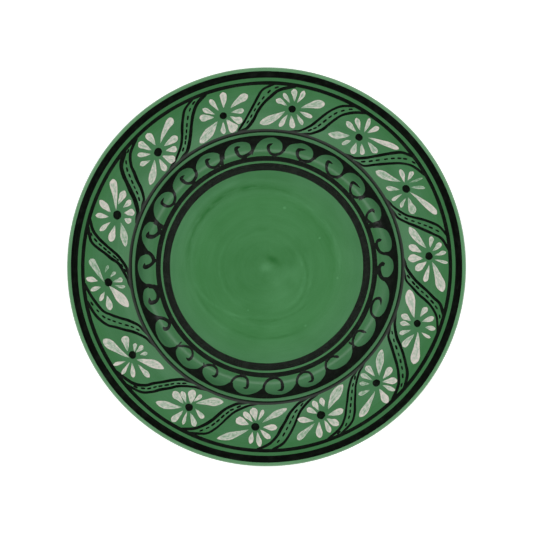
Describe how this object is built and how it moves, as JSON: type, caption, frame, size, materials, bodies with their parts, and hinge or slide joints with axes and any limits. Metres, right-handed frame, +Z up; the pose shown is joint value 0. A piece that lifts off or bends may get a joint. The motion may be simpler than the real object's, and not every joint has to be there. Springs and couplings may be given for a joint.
{
  "type": "hand painted ceramic plate",
  "caption": "Round thrown plate with a flat well, a sloping rim and a turned foot ring, glazed green and painted in black and white.",
  "frame": {"origin": "on the plate's axis, in the plane that the foot ring stands on", "axes": "+Z up along the axis, out of the face; +Y towards the side of the pattern that is at the top when the plate is seen from the front; +X to the right of that"},
  "size_m": [0.27, 0.27, 0.0296],
  "materials": {
    "clay": "matt bare biscuit, seen only on the foot ring",
    "green_glaze": "glossy, brushed in fine rings, lighter where it thins on the lip",
    "black_paint": "glossy underglaze brushwork",
    "white_paint": "glossy thin brushwork that lets the green through"
  },
  "bodies": {
    "root": {"clay_body": "clay", "glaze_face": "green_glaze", "glaze_back": "green_glaze", "glaze_foot_recess": "green_glaze", "well_band": "black_paint", "well_line": "black_paint", "scroll_frieze": "black_paint", "shoulder_line": "black_paint", "rim_line": "black_paint", "rim_band": "black_paint", "ribbon_01": "black_paint", "ribbon_02": "black_paint", "ribbon_03": "black_paint", "ribbon_04": "black_paint", "ribbon_05": "black_paint", "ribbon_06": "black_paint", "ribbon_07": "black_paint", "ribbon_08": "black_paint", "ribbon_09": "black_paint", "ribbon_10": "black_paint", "ribbon_11": "black_paint", "ribbon_12": "black_paint", "ribbon_13": "black_paint", "ribbon_14": "black_paint", "flower_eye_01": "black_paint", "flower_eye_02": "black_paint", "flower_eye_03": "black_paint", "flower_eye_04": "black_paint", "flower_eye_05": "black_paint", "flower_eye_06": "black_paint", "flower_eye_07": "black_paint", "flower_eye_08": "black_paint", "flower_eye_09": "black_paint", "flower_eye_10": "black_paint", "flower_eye_11": "black_paint", "flower_eye_12": "black_paint", "flower_eye_13": "black_paint", "flower_eye_14": "black_paint", "flower_01": "white_paint", "flower_02": "white_paint", "flower_03": "white_paint", "flower_04": "white_paint", "flower_05": "white_paint", "flower_06": "white_paint", "flower_07": "white_paint", "flower_08": "white_paint", "flower_09": "white_paint", "flower_10": "white_paint", "flower_11": "white_paint", "flower_12": "white_paint", "flower_13": "white_paint", "flower_14": "white_paint"}
  },
  "joints": []
}
